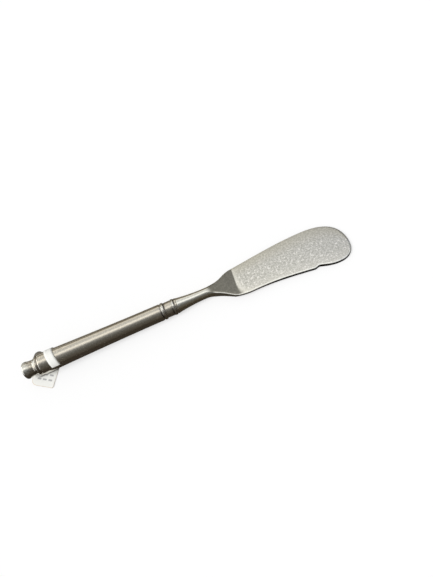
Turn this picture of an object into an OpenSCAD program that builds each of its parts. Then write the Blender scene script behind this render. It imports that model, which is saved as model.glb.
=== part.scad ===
// Canape knife: a flat notched spreader blade on a round neck, a ringed collar, a flared hollow handle
// with a turned end cap, and a paper price tag looped round the handle.
// The origin is the centre of the end cap's flat end. +X runs along the knife to the blade's tip,
// +Z comes out of the blade's upper face, and -Y is the side with the notched edge. Sizes are in mm.

/* [End cap] */
// Diameter of the button at the very end
button_d = 7.3; // [6.9:0.1:8.2]
// Length of the button along the knife
button_length = 2.4; // [2:0.1:3.5]
// Rounding of the button's two edges
button_edge = 0.9; // [0.4:0.1:1]
// Diameter of the waist between the button and the shoulder
waist_d = 6.7; // [6.2:0.1:7]
// Length of the straight part of the waist
waist_length = 0.8; // [0.4:0.1:2]
// Length of the hollow curve from the waist to the shoulder bead's crown
cove_length = 3.2; // [2.4:0.1:4]
// Diameter of the shoulder bead
shoulder_d = 8.7; // [8.4:0.1:9.2]
// Width of the section that the shoulder bead is rounded from
shoulder_width = 1.6; // [1.2:0.1:2]
// Length of the spigot that the cap puts into the handle
cap_spigot_length = 6; // [4:0.5:10]

/* [Handle] */
// Length of the handle tube
handle_length = 54.4; // [45:0.1:70]
// Diameter of the handle at its rear end
handle_rear_d = 9.1; // [8.8:0.1:10]
// Diameter of the handle where it meets the collar
handle_front_d = 7.25; // [7.05:0.05:8]
// How late the handle flares: 1 is a straight taper, 2 is a parabola
handle_flare = 1.7; // [1:0.1:3]
// Bevel of the tube's rear edge
handle_edge = 0.3; // [0.1:0.05:0.5]
// Bore of the handle tube
handle_bore = 6; // [5.2:0.1:6.2]

/* [Collar] */
// Diameter of the plain band between the beads
band_d = 6.7; // [6.5:0.05:6.95]
// Diameter of the bead next to the handle
rear_bead_d = 7.45; // [7.2:0.05:8]
// Diameter of the bead next to the neck
front_bead_d = 7.15; // [7.05:0.05:7.8]
// Width of the section that each bead is rounded from
bead_width = 2; // [1.6:0.1:2.4]
// Distance between the two beads
bead_spacing = 4.6; // [4:0.1:6]
// Plain length in front of the front bead's crown
collar_lip = 1.7; // [1.4:0.1:4]
// Length of the spigot that the collar puts into the handle
collar_spigot_length = 5; // [4:0.5:10]

/* [Neck and tang] */
// Diameter of the neck where it leaves the collar
neck_rear_d = 6.4; // [6:0.1:6.6]
// Diameter of the neck at its thinnest
neck_d = 4.5; // [4.2:0.1:5]
// Length of the neck from the collar to its thinnest place
neck_length = 12.9; // [9:0.1:20]
// Diameter of the tang inside the handle
tang_d = 4; // [3:0.1:4.4]
// Length of the tang behind the neck
tang_length = 39; // [20:0.5:44]

/* [Blade] */
// Length of the sloped shoulder, from the thin neck to the crease
shoulder_length = 13.5; // [11:0.1:18]
// Length of the blade's flat, from the crease to the tip
blade_length = 52.4; // [44:0.1:70]
// Thickness of the blade
blade_thickness = 1.4; // [1.2:0.1:2.4]
// How far the plain edge stands off the axis at its widest
back_reach = 8.6; // [7.5:0.1:10]
// Distance from the tip back to the plain edge's widest place
back_from_tip = 16.7; // [14:0.1:22]
// How far the plain edge stands off the axis at the crease
back_heel = 5.5; // [4.6:0.1:6.2]
// How far the notched edge stands off the axis at the lobe by the tip
lobe_reach = 11.45; // [10.4:0.05:13]
// Distance from the tip back to the widest place of the lobe
lobe_from_tip = 8.1; // [6:0.1:9]
// How far the notched edge stands off the axis just behind the notch
belly_reach = 9.95; // [9:0.05:10.2]
// Distance from the tip back to the belly's edge behind the notch
belly_from_tip = 19.1; // [18.5:0.1:23]
// Depth of the notch below the belly
notch_depth = 0.3; // [0.15:0.05:0.8]
// Distance from the tip back to the bottom of the notch
notch_from_tip = 16.8; // [14:0.1:18]
// How far the notched edge stands off the axis at the heel
front_heel = 7.65; // [7:0.05:8.4]
// Distance from the crease forward to the heel of the notched edge
heel_ahead = 5; // [3:0.1:8]
// How far the notched edge stands off the axis at its shoulder
front_shoulder = 6.5; // [5.6:0.05:7]
// Distance from the crease back to the shoulder of the notched edge
shoulder_behind = 2.7; // [1.5:0.1:4]
// How far the point of the tip lies off the axis
tip_drop = 3.3; // [2:0.1:5]

/* [Price tag] */
// Thickness of the tag's paper
paper = 0.2; // [0.15:0.05:0.4]
// Radial slack of the loop round the handle's rear end
loop_slack = 0.2; // [0.15:0.05:0.6]
// Width of the loop along the handle
loop_width = 3.5; // [2.5:0.1:5]
// Distance of the loop from the handle's rear end
loop_from_end = 4; // [1:0.1:10]
// Width of the leaf
leaf_width = 10.3; // [8:0.1:14]
// Length of the leaf
leaf_length = 13; // [12:0.5:20]
// Rounding of the two corners on the leaf's outer long edge
leaf_corner = 2.5; // [0.5:0.1:3.5]
// Rounding of the two corners on the leaf's inner long edge
leaf_tight_corner = 0.6; // [0.2:0.1:2]
// Angle that the leaf's long edges make with the knife, seen from above
leaf_turn = 57; // [30:1:90]
// Distance from the loop's middle to the leaf's near edge
leaf_reach = 11.35; // [9:0.05:12]
// Distance from the loop's middle to the leaf's inner long edge
leaf_side = 0.8; // [0.5:0.05:6]
// Width of the tail's loose end
tail_width = 4.2; // [3:0.1:5]
// Length of the tail's loose end
tail_length = 9; // [7:0.5:11]
// Angle that the tail's loose end makes with the knife, seen from above
tail_turn = 65; // [50:1:80]
// Distance from the loop's middle to the round tip of the tail, along the tail
tail_reach = 4.5; // [4:0.1:7]
// Distance from the loop's middle to the middle of the tail, across the tail
tail_side = 10.1; // [7:0.1:10.5]

/* [Fits] */
// Gap left for solder or cement between seated pieces, on each side
seat_gap = 0.03; // [0.02:0.01:0.08]
// Gap between the loop and the leaf that hangs on it
leaf_gap = 0.05; // [0.04:0.01:0.2]

/* [Hidden] */
$fn = 96;

// Straight pieces that a curve, the handle's flare and a paper corner are drawn from
curve_steps = 12;
flare_steps = 16;
corner_steps = 8;
// How far a curve's control points stand from its ends, as a share of its length
curve_share = 0.35;
// The same along the plain edge's shoulder, the notched edge's shoulder and the notched edge's heel
back_share = 0.45;
front_share = 0.33;
heel_share = 0.2;
// How wide the turned neck opens on its way to the crease, as a share of its diameter
open_share = 1;
// The same at the full round of the blade's tip
tip_share = 0.66;
// Slopes of the blade's two edges, rise over run towards the tip, where two curves of the outline join
back_shoulder_slope = 0.4;
back_heel_slope = 0.11;
front_shoulder_slope = -0.65;
front_heel_slope = 0.03;
belly_slope = -0.137;
notch_slope = -0.35;
// Where the shoulders and their sloped facets start, forward of the thin neck
outline_start = 1.4;
facet_start = 2.4;
// Share of a fillet's wall that the fillet may take
fillet_share = 0.45;
// Share of a bead's radius at which the hollow curve runs into it
cove_share = sqrt(0.5);
// How far a cutting or hidden solid runs past the face that it crosses
overrun = 1;

// Stations along the knife
cove_x = button_length + waist_length;
shoulder_x = cove_x + cove_length;
tube_x = shoulder_x + shoulder_width / 2;
collar_x = tube_x + handle_length;
rear_bead_x = collar_x + bead_width / 2;
front_bead_x = rear_bead_x + bead_spacing;
neck_x = front_bead_x + collar_lip;
thin_x = neck_x + neck_length;
root_x = thin_x + outline_start;
crease_x = thin_x + shoulder_length;
tip_x = crease_x + blade_length;
loop_x = tube_x + loop_from_end;
loop_middle_x = loop_x + loop_width / 2;

// Radius inside the tag's loop, and the height of the leaf's upper face
loop_r = handle_rear_d / 2 + loop_slack;
leaf_top_z = -(loop_r + paper + leaf_gap);
// Outer diameter of the spigots and the core in the handle's bore, and the bore round the tang
spigot_d = handle_bore - 2 * seat_gap;
tang_bore = tang_d + 2 * seat_gap;

// Steel of the knife, cement of the core and paper of the tag
steel = [0.66, 0.64, 0.6];
blade_steel = [0.72, 0.71, 0.68];
cement = [0.55, 0.52, 0.47];
ivory_paper = [0.97, 0.97, 0.93];

// Point at share t of a cubic curve with the ends a and d and the control points b and c
function curve_point(a, b, c, d, t) =
    pow(1 - t, 3) * a + 3 * pow(1 - t, 2) * t * b + 3 * (1 - t) * t * t * c + t * t * t * d;

// Points of a cubic curve without its last one, so that curves can be joined
function curve(a, b, c, d) =
    [for (i = [0 : curve_steps - 1]) curve_point(a, b, c, d, i / curve_steps)];

// Curve of the blade's edge between two points with a slope at each
function edge_curve(a, slope_a, b, slope_b, share = curve_share) =
    let (run = share * (b.x - a.x))
    curve(a, a + run * [1, slope_a], b - run * [1, slope_b], b);

// Rounded corner from a to b, drawn towards the corner point by a share of the way
function corner_curve(a, corner, b, share) =
    curve(a, a + share * (corner - a), b + share * (corner - b), b);

// Points of a quarter circle that starts at the given angle
function corner_arc(centre, r, start) =
    [for (i = [0 : corner_steps])
        let (angle = start + 90 * i / corner_steps)
        centre + r * [cos(angle), sin(angle)]];

// Handle radius at a distance behind the collar
function handle_r(back) =
    handle_front_d / 2 + (handle_rear_d - handle_front_d) / 2 * pow(back / handle_length, handle_flare);

// Turns a profile of (radius, place along the knife) round the knife's axis
module turned() {
    rotate([0, 90, 0]) rotate_extrude() children();
}

// A round bar along the knife, from one station to another
module bar(from_x, to_x, d) {
    translate([from_x, 0, 0]) rotate([0, 90, 0]) cylinder(h = to_x - from_x, d = d);
}

// Profile of a plain turned length
module land(from_x, to_x, d) {
    translate([0, from_x]) square([d / 2, to_x - from_x]);
}

// Profile of a raised round bead on a turned piece
module bead(at_x, d, width) {
    translate([(d - width) / 2, at_x]) circle(d = width);
}

// Profile of the button with its two rounded edges
module button_profile() {
    edge = min(button_edge, fillet_share * button_length);
    land(0, button_length, button_d - 2 * edge);
    land(edge, button_length - edge, button_d);
    for (at_x = [edge, button_length - edge]) {
        bead(at_x, button_d, 2 * edge);
    }
    land(button_length / 2, cove_x, waist_d);
}

// Profile of the hollow curve that runs from the waist into the shoulder bead
module cove_profile() {
    onto_bead = cove_share * shoulder_width / 2;
    root = [waist_d / 2, cove_x];
    top = [(shoulder_d - shoulder_width) / 2 + onto_bead, shoulder_x - onto_bead];
    run = curve_share * cove_length;
    polygon(concat(
        [[0, cove_x]],
        curve(root, root + [0, run], top - run * [1, 1], top),
        [top, [0, top.y]]
    ));
    land(top.y, tube_x, shoulder_d - shoulder_width);
    bead(shoulder_x, shoulder_d, shoulder_width);
}

// Turned cap that closes the handle's rear end
module end_cap() {
    color(steel) turned() {
        button_profile();
        cove_profile();
        land(shoulder_x, tube_x + cap_spigot_length, spigot_d);
    }
}

// Hollow handle, widening to its rear end
module handle_tube() {
    color(steel) turned() polygon(concat(
        [
            [handle_bore / 2, collar_x],
            [handle_bore / 2, tube_x],
            [handle_rear_d / 2 - handle_edge, tube_x]
        ],
        [for (i = [flare_steps : -1 : 0])
            let (back = (handle_length - handle_edge) * i / flare_steps)
            [handle_r(back), collar_x - back]]
    ));
}

// Cement core that fills the handle round the tang
module handle_filler() {
    core_x = tube_x + cap_spigot_length + seat_gap;
    color(cement) difference() {
        bar(core_x, collar_x - collar_spigot_length - seat_gap, spigot_d);
        bar(neck_x - tang_length - seat_gap, collar_x, tang_bore);
    }
}

// Turned ferrule with two beads, bored for the tang
module collar() {
    spigot_x = collar_x - collar_spigot_length;
    color(steel) turned() difference() {
        union() {
            land(spigot_x, rear_bead_x, spigot_d);
            land(collar_x, neck_x, band_d);
            bead(rear_bead_x, rear_bead_d, bead_width);
            bead(front_bead_x, front_bead_d, bead_width);
        }
        land(spigot_x - overrun, neck_x + overrun, tang_bore);
    }
}

// Plan outline, which leaves the neck whole and runs along the plain edge, round the tip and back
module blade_outline() {
    back_root = [root_x, neck_d / 2];
    back_shoulder = [crease_x, back_heel];
    back_wide = [tip_x - back_from_tip, back_reach];
    tip = [tip_x, -tip_drop];
    lobe = [tip_x - lobe_from_tip, -lobe_reach];
    notch = [tip_x - notch_from_tip, notch_depth - belly_reach];
    belly = [tip_x - belly_from_tip, -belly_reach];
    heel = [crease_x + heel_ahead, -front_heel];
    shoulder = [crease_x - shoulder_behind, -front_shoulder];
    front_root = [back_root.x, -back_root.y];
    polygon(concat(
        [[neck_x, -neck_rear_d], [neck_x, neck_rear_d], [thin_x, neck_rear_d]],
        edge_curve(back_root, 0, back_shoulder, back_shoulder_slope, back_share),
        edge_curve(back_shoulder, back_heel_slope, back_wide, 0),
        corner_curve(back_wide, [tip.x, back_wide.y], tip, tip_share),
        corner_curve(tip, [tip.x, lobe.y], lobe, tip_share),
        edge_curve(lobe, 0, notch, notch_slope),
        edge_curve(notch, 0, belly, 0),
        edge_curve(belly, belly_slope, heel, front_heel_slope),
        edge_curve(heel, front_heel_slope, shoulder, front_shoulder_slope, heel_share),
        edge_curve(shoulder, front_shoulder_slope, front_root, 0, front_share),
        [front_root, [thin_x, -neck_rear_d]]
    ));
}

// Upper half of the side profile, which leaves the neck whole and slopes down to the blade's flat
module side_half() {
    polygon([
        [neck_x, 0],
        [neck_x, neck_rear_d],
        [thin_x, neck_rear_d],
        [thin_x + facet_start, neck_d / 2],
        [crease_x, blade_thickness / 2],
        [tip_x + overrun, blade_thickness / 2],
        [tip_x + overrun, 0]
    ]);
}

// Turned profile, which narrows from the collar along the neck and then opens to let the blade out
module neck_profile() {
    rear = [neck_rear_d / 2, neck_x];
    thin = [neck_d / 2, thin_x];
    root = [neck_d / 2, root_x];
    open = [lobe_reach + overrun, crease_x];
    neck_run = curve_share * neck_length;
    narrowing = curve_share * (neck_rear_d - neck_d);
    open_run = curve_share * (crease_x - root_x);
    polygon(concat(
        [[0, neck_x]],
        curve(rear, rear + [-narrowing, neck_run], thin - [0, neck_run], thin),
        [thin],
        curve(root, root + [0, open_run], [open_share * neck_d, crease_x - open_run], open),
        [open, [open.x, tip_x + overrun], [0, tip_x + overrun]]
    ));
}

// Blade, shoulders, neck and tang in one forging
module blade() {
    deep = lobe_reach + back_reach;
    color(blade_steel) union() {
        intersection() {
            turned() neck_profile();
            translate([0, 0, -neck_rear_d]) linear_extrude(2 * neck_rear_d) blade_outline();
            rotate([90, 0, 0]) translate([0, 0, -deep]) linear_extrude(2 * deep) {
                side_half();
                mirror([0, 1]) side_half();
            }
        }
        bar(neck_x - tang_length, neck_x + overrun, tang_d);
    }
}

// Paper tail looped round the handle
module tag_loop() {
    color(ivory_paper) difference() {
        bar(loop_x, loop_x + loop_width, 2 * (loop_r + paper));
        bar(loop_x - overrun, loop_x + loop_width + overrun, 2 * loop_r);
    }
}

// Lays a flat paper outline under the loop, turned in plan, some plies down
module under_loop(turn, plies_down) {
    translate([loop_middle_x, 0, leaf_top_z - (plies_down + 1) * paper])
        rotate(turn) linear_extrude(paper) children();
}

// Printed leaf of the tag, lying under the handle
module tag_leaf() {
    far = leaf_length - leaf_reach;
    out = leaf_width - leaf_side;
    color(ivory_paper) under_loop(leaf_turn, 0) polygon(concat(
        corner_arc([far - leaf_corner, out - leaf_corner], leaf_corner, 0),
        corner_arc([leaf_corner - leaf_reach, out - leaf_corner], leaf_corner, 90),
        corner_arc([leaf_tight_corner - leaf_reach, leaf_tight_corner - leaf_side], leaf_tight_corner, 180),
        corner_arc([far - leaf_tight_corner, leaf_tight_corner - leaf_side], leaf_tight_corner, 270)
    ));
}

// Loose end of the tail, stuck under the leaf, with a round tip that shows behind the handle
module tag_tail() {
    r = tail_width / 2;
    middle = [tail_reach - r, tail_side];
    color(ivory_paper) under_loop(tail_turn, 1) polygon(concat(
        corner_arc(middle, r, -90),
        corner_arc(middle, r, 0),
        [[tail_reach - tail_length, tail_side + r], [tail_reach - tail_length, tail_side - r]]
    ));
}

blade();
collar();
handle_tube();
end_cap();
handle_filler();
tag_loop();
tag_leaf();
tag_tail();
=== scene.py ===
"""Dresses the canape knife: tumbled steel blade, collar, handle and end cap, and its looped paper tag."""

import math

import bmesh
import bpy
import numpy as np
from mathutils import Matrix, Vector


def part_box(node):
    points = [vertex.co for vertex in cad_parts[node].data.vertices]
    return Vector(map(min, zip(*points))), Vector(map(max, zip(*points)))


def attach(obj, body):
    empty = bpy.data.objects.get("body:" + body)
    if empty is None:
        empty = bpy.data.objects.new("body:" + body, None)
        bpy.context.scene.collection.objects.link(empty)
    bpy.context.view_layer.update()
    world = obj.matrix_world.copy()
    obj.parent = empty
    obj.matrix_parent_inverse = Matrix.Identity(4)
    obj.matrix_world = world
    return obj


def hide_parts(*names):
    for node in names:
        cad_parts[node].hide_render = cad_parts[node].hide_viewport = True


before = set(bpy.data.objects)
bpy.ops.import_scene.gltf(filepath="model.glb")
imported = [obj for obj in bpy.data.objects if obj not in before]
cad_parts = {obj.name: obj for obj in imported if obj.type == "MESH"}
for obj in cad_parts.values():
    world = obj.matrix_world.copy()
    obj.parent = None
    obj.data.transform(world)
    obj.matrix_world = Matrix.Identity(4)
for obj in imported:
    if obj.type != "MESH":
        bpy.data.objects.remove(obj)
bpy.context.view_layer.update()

bl_info = {
    "name": "Canape knife",
    "version": (1, 0, 0),
    "blender": (4, 5, 0),
    "location": "View3D > Sidebar > Knife",
    "description": "Builds a tumbled steel canape knife with a looped paper tag",
    "category": "Object",
}

# Sizes are written in millimetres, and Blender's scene is in metres
MM = 0.001
IMAGE_WIDTH = 433
IMAGE_HEIGHT = 577
LOW, HIGH = 0, 1
X, Y, Z = 0, 1, 2


def frame_mm(node, side, axis):
    """One side of a frame node's box, in millimetres."""
    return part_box(node)[side][axis] / MM


def length(name, description, millimetres):
    """A length that a user may change, written in millimetres and kept in metres."""
    return bpy.props.FloatProperty(
        name=name, description=description, default=millimetres * MM, unit="LENGTH", precision=5
    )


def share(name, description, default):
    """A share or a level that a user may change."""
    return bpy.props.FloatProperty(name=name, description=description, default=default, subtype="FACTOR")


def angle(name, description, degrees):
    """An angle that a user may change."""
    return bpy.props.FloatProperty(
        name=name, description=description, default=math.radians(degrees), subtype="ANGLE"
    )


def tint(name, description, default):
    """A colour that a user may change."""
    return bpy.props.FloatVectorProperty(
        name=name, description=description, default=default, size=3, min=0.0, max=1.0, subtype="COLOR"
    )


class TurnedSizes(bpy.types.PropertyGroup):
    """Sizes of the turned end cap, handle and collar."""

    tube_x: length("Handle start", "Where the handle starts", frame_mm("handle_tube", LOW, X))
    collar_x: length("Collar start", "Where the collar starts", frame_mm("handle_tube", HIGH, X))
    neck_x: length("Collar end", "Where the neck leaves the collar", frame_mm("collar", HIGH, X))
    button_d: length("Button", "Diameter of the button", 7.3)
    button_edge: length("Button edge", "Rounding of the button", 0.9)
    waist_d: length("Waist", "Diameter of the waist", 6.7)
    cove_x: length("Cove start", "Where the hollow curve starts", 3.2)
    shoulder_d: length("Shoulder bead", "Diameter of the shoulder bead", 2 * frame_mm("end_cap", HIGH, Z))
    shoulder_width: length("Shoulder width", "Width of the shoulder bead's section", 1.6)
    rear_d: length("Handle rear", "Diameter at the rear end", 2 * frame_mm("handle_tube", HIGH, Z))
    front_d: length("Handle front", "Diameter at the collar", 7.25)
    flare: share("Handle flare", "How late the handle flares", 1.7)
    band_d: length("Collar band", "Diameter of the plain band", 6.7)
    rear_bead_d: length("Rear bead", "Diameter of the bead by the handle", 2 * frame_mm("collar", HIGH, Z))
    front_bead_d: length("Front bead", "Diameter of the bead by the neck", 7.15)
    bead_width: length("Bead width", "Width of each bead's section", 2.0)
    bead_spacing: length("Bead spacing", "Distance between the beads", 4.6)
    groove: length("Groove", "Depth of the dark line in front of each bead", 0.14)


class BladeSizes(bpy.types.PropertyGroup):
    """Sizes of the forged blade with its neck."""

    neck_x: length("Neck start", "Where the neck leaves the collar", frame_mm("collar", HIGH, X))
    tip_x: length("Tip", "Where the blade's tip lies", frame_mm("blade", HIGH, X))
    neck_rear_d: length("Neck rear", "Diameter of the neck at the collar", 6.4)
    neck_d: length("Neck", "Diameter of the thin neck", 4.5)
    neck_length: length("Neck length", "From the collar to the thin neck", 12.9)
    shoulder_length: length("Shoulder length", "From the thin neck to the crease", 13.5)
    thickness: length("Thickness", "Thickness of the blade", 1.4)
    back_reach: length("Plain edge", "Widest place of the plain edge", frame_mm("blade", HIGH, Y))
    back_from_tip: length("Plain edge place", "From the tip to the plain edge's widest place", 16.7)
    back_heel: length("Plain heel", "Plain edge's reach at the crease", 5.5)
    lobe_reach: length("Lobe", "Notched edge's reach at the lobe", -frame_mm("blade", LOW, Y))
    lobe_from_tip: length("Lobe place", "From the tip to the lobe's widest place", 8.1)
    belly_reach: length("Belly", "Notched edge's reach behind the notch", 10.06)
    belly_from_tip: length("Belly place", "From the tip to the edge behind the notch", 19.1)
    notch_depth: length("Notch", "Depth of the notch", 0.48)
    notch_filed: length("Filed notch", "How far the notch's upper rim is filed back", 0.18)
    wall_lean: length("Wall lean", "How far the wall under the notched edge leans out", 0.2)
    notch_from_tip: length("Notch place", "From the tip to the notch", 16.8)
    front_heel: length("Heel", "Notched edge's reach at the heel", 7.85)
    heel_ahead: length("Heel place", "From the crease forward to the heel", 5.0)
    front_shoulder: length("Shoulder", "Notched edge's reach at its shoulder", 6.5)
    shoulder_behind: length("Shoulder place", "From the crease back to the shoulder", 2.7)
    tip_drop: length("Tip drop", "How far the point of the tip lies off the axis", 3.3)
    edge_round: length("Plain edge rounding", "Rounding of the plain edge and the tip", 0.28)
    notched_round: length("Notched edge rounding", "Rounding of the notched edge", 0.14)
    edge_roll: length("Edge roll", "Radius of the soft roll before the rounding", 3.0)
    roll_turn: angle("Edge roll turn", "How far the soft roll turns down", 13)
    crease_skew: share("Crease skew", "How far the crease leans along the knife", 0.09)


class TagSizes(bpy.types.PropertyGroup):
    """Sizes of the paper tag."""

    loop_x: length("Loop place", "Where the loop starts along the knife", frame_mm("tag_loop", LOW, X))
    loop_width: length("Loop width", "Width of the loop", 3.5)
    loop_r: length("Loop radius", "Radius inside the loop", 4.6)
    loop_lean: length("Loop lean", "How far the loop's near side leans towards the blade", 0.8)
    loop_start: angle("Loop start", "From the top down the near side to the strip's loose end", 67)
    loop_end: angle("Loop end", "From the top down the far side and under to the strip's other end", 215)
    paper: length("Paper", "Thickness of the paper", 0.14)
    # Place of the painted shadow streak that the handle's near side throws on the leaf
    fold_y: length("Fold", "From the knife's axis to the grubby fold across the leaf", 2.9)
    leaf_top_z: length("Leaf height", "Height of the leaf's upper face", frame_mm("tag_leaf", HIGH, Z))
    leaf_turn: angle("Leaf turn", "Angle of the leaf's long edges with the knife", 57)
    leaf_width: length("Leaf width", "Width of the leaf", 10.3)
    leaf_length: length("Leaf length", "Length of the leaf", 13.0)
    leaf_corner: length("Outer corners", "Rounding of the leaf's outer corners", 2.5)
    leaf_tight_corner: length("Inner corners", "Rounding of the leaf's inner corners", 0.6)
    leaf_reach: length("Leaf reach", "From the loop's middle to the leaf's near edge", 11.35)
    leaf_side: length("Leaf side", "From the loop's middle to the leaf's inner edge", 0.8)
    tail_top_z: length("Tail height", "Height of the tail's upper face", frame_mm("tag_tail", HIGH, Z))
    tail_turn: angle("Tail turn", "Angle of the tail with the knife", 65)
    tail_width: length("Tail width", "Width of the tail", 4.2)
    tail_length: length("Tail length", "Length of the tail", 9.0)
    tail_reach: length("Tail reach", "From the loop's middle to the tail's round end", 4.5)
    tail_side: length("Tail side", "From the loop's middle to the tail's middle", 10.1)


class KnifeLooks(bpy.types.PropertyGroup):
    """Colours of the steel, the cement and the paper."""

    steel: tint("Steel", "Colour of the turned pieces", (0.70, 0.675, 0.625))
    cap: tint("Cap", "Colour of the rougher end cap", (0.5, 0.475, 0.43))
    blade: tint("Blade", "Colour of the blade", (0.68, 0.69, 0.66))
    # Also the colour of the painted highlights on the cap and the collar
    polish: tint("Polish", "Colour of the polished neck and edge", (0.88, 0.91, 0.9))
    # Painted reflection: a warm tint on the neck's flanks, standing for a warmer reflection there
    flank: tint("Flanks", "Colour of the neck's warmer flanks", (0.95, 0.88, 0.73))
    # Painted highlight along the crease and along the notched edge
    crease: tint("Crease", "Colour of the bright flat along the crease", (0.98, 0.98, 0.93))
    # Painted shade: the blade drawn darker and warmer towards its plain edge
    warm: tint("Shadowed steel", "Colour of the blade along its plain edge", (0.62, 0.612, 0.555))
    # Painted shade on the sloped facets, standing for their dark reflection
    facet: tint("Facet", "Colour of the shadowed facets", (0.228, 0.224, 0.2))
    # Painted shade on the wall round the blade, standing for its dark reflection
    wall: tint("Wall", "Colour of the sheared wall round the blade", (0.12, 0.11, 0.092))
    # Dark lines in the grooves: partly patina, mostly painted shade that is strongest on one side
    grime: tint("Shade", "Colour of the dark lines in the grooves", (0.06, 0.052, 0.04))
    paper: tint("Paper", "Colour of the tag", (0.97, 0.97, 0.93))
    rim: tint("Paper rim", "Colour of the tag's cut edges", (0.78, 0.7, 0.58))
    # Painted shade: the shadow streak on the leaf under the handle, and the tail's dark rim
    grubby: tint("Shaded paper", "Colour of the tag's grubby fold and tail", (0.11, 0.1, 0.085))
    # Painted shade: the tail's paper drawn tan, as if in the handle's shade
    tail: tint("Tail", "Colour of the tag's worn tail", (0.5, 0.45, 0.37))
    mark: tint("Marks", "Colour of the plain bars on the leaf", (0.5, 0.5, 0.5))
    cement: tint("Cement", "Colour of the cement core", (0.4, 0.37, 0.32))


class StageLooks(bpy.types.PropertyGroup):
    """Colours and levels of the floor and the light."""

    floor: tint("Floor", "Colour of the pale floor", (0.4, 0.4, 0.4))
    glow: tint("Floor glow", "How far the floor shows white where the shadow falls", (0.6, 0.6, 0.6))
    table: tint("Table", "Colour that the floor throws back", (0.06, 0.05, 0.035))
    dome: share("Dome", "Level of the soft light all round", 0.48)
    sun: share("Sun", "Strength of the side light", 2.1)
    sun_width: angle("Sun width", "Width of the side light", 35)


# Share of a curve's length at which its control points stand, unless it has its own
CURVE_SHARE = 0.35
# Sides of a turned piece, and the distance under which two points of a piece are one
TURNED_SIDES = 96
WELD = 0.0001 * MM


# Shape helpers


def cubic(a, b, c, d, steps=60):
    """Points of a cubic curve without its last one."""
    a, b, c, d = (np.array(p, float) for p in (a, b, c, d))
    t = np.linspace(0.0, 1.0, steps, endpoint=False)[:, None]
    return (1 - t) ** 3 * a + 3 * (1 - t) ** 2 * t * b + 3 * (1 - t) * t**2 * c + t**3 * d


def edge_curve(a, slope_a, b, slope_b, reach=CURVE_SHARE):
    """Edge of the blade between two points with a slope at each."""
    run = reach * (b[0] - a[0])
    return cubic(a, (a[0] + run, a[1] + run * slope_a), (b[0] - run, b[1] - run * slope_b), b)


def corner_curve(a, corner, b, reach):
    """Rounded corner from a to b."""
    a, corner, b = (np.array(p, float) for p in (a, corner, b))
    return cubic(a, a + reach * (corner - a), b + reach * (corner - b), b)


def arc(centre, r, start, end, steps=14):
    """Points of a circle from one angle to another, in degrees."""
    return [
        (centre[0] + r * math.cos(a), centre[1] + r * math.sin(a))
        for a in np.radians(np.linspace(start, end, steps))
    ]


def soft_step(low, high, x):
    """Soft step from 0 at low to 1 at high."""
    t = np.clip((x - low) / (high - low), 0.0, 1.0)
    return t * t * (3 - 2 * t)


def resampled(points, count):
    """The same line with evenly spaced points."""
    points = np.array(points, float)
    steps = np.linalg.norm(np.diff(points, axis=0), axis=1)
    along = np.concatenate([[0.0], np.cumsum(steps)])
    at = np.linspace(0.0, along[-1], count)
    return np.stack([np.interp(at, along, points[:, k]) for k in range(points.shape[1])], axis=1)


def softened(points, step, passes):
    """A line resampled at a step, with its corners worn round and its ends kept."""
    points = np.array(points, float)
    reach = np.linalg.norm(np.diff(points, axis=0), axis=1).sum()
    line = resampled(points, int(reach / step))
    for _ in range(passes):
        line[1:-1] = 0.25 * line[:-2] + 0.5 * line[1:-1] + 0.25 * line[2:]
    return line


def lofted(rings, size):
    """Quads between rings of the same size."""
    faces = []
    for i in range(rings - 1):
        for j in range(size):
            k = (j + 1) % size
            faces.append((i * size + j, i * size + k, (i + 1) * size + k, (i + 1) * size + j))
    return faces


def turned(profile):
    """Vertices and faces of a profile of (place along the knife, radius), turned round the knife."""
    verts = []
    for x, r in profile:
        for j in range(TURNED_SIDES):
            a = 2 * math.pi * j / TURNED_SIDES
            verts.append((x, r * math.sin(a), r * math.cos(a)))
    return verts, lofted(len(profile), TURNED_SIDES)


def new_piece(name, shape, body, stands_for, material, marks=()):
    """Adds a smooth mesh piece that rides on a body and stands for a frame node.

    Marks are named values at each point, which the material reads."""
    verts, faces = shape
    mesh = bpy.data.meshes.new(name)
    mesh.from_pydata([tuple(v) for v in verts], [], faces)
    for label, kind, values in marks:
        layer = mesh.attributes.new(label, kind, "POINT")
        layer.data.foreach_set("value" if kind == "FLOAT" else "vector", np.ravel(values))
    work = bmesh.new()
    work.from_mesh(mesh)
    bmesh.ops.remove_doubles(work, verts=work.verts, dist=WELD)
    bmesh.ops.recalc_face_normals(work, faces=work.faces)
    work.to_mesh(mesh)
    work.free()
    mesh.polygons.foreach_set("use_smooth", [True] * len(mesh.polygons))
    mesh.materials.append(material)
    piece = bpy.data.objects.new(name, mesh)
    bpy.context.scene.collection.objects.link(piece)
    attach(piece, body)
    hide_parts(stands_for)


# Shader helpers


def add_node(tree, kind, **values):
    """A shader node with its settings and inputs. An underscore in an input's name is a space."""
    node = tree.nodes.new(kind)
    for key, value in values.items():
        if hasattr(node, key):
            setattr(node, key, value)
        else:
            node.inputs[key.replace("_", " ")].default_value = value
    return node


def new_group(name, inputs, outputs):
    """An empty shader node group with float inputs and outputs."""
    tree = bpy.data.node_groups.new(name, "ShaderNodeTree")
    for label, default in inputs:
        socket = tree.interface.new_socket(label, in_out="INPUT", socket_type="NodeSocketFloat")
        socket.default_value = default
    for label in outputs:
        tree.interface.new_socket(label, in_out="OUTPUT", socket_type="NodeSocketFloat")
    return tree, tree.nodes.new("NodeGroupInput"), tree.nodes.new("NodeGroupOutput")


def group_node(tree, maker, **values):
    """A shared node group placed in a material with its own values. The group is built once."""
    node = tree.nodes.new("ShaderNodeGroup")
    node.node_tree = bpy.data.node_groups.get(maker.__name__) or maker()
    for key, value in values.items():
        node.inputs[key.replace("_", " ")].default_value = value
    return node


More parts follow.
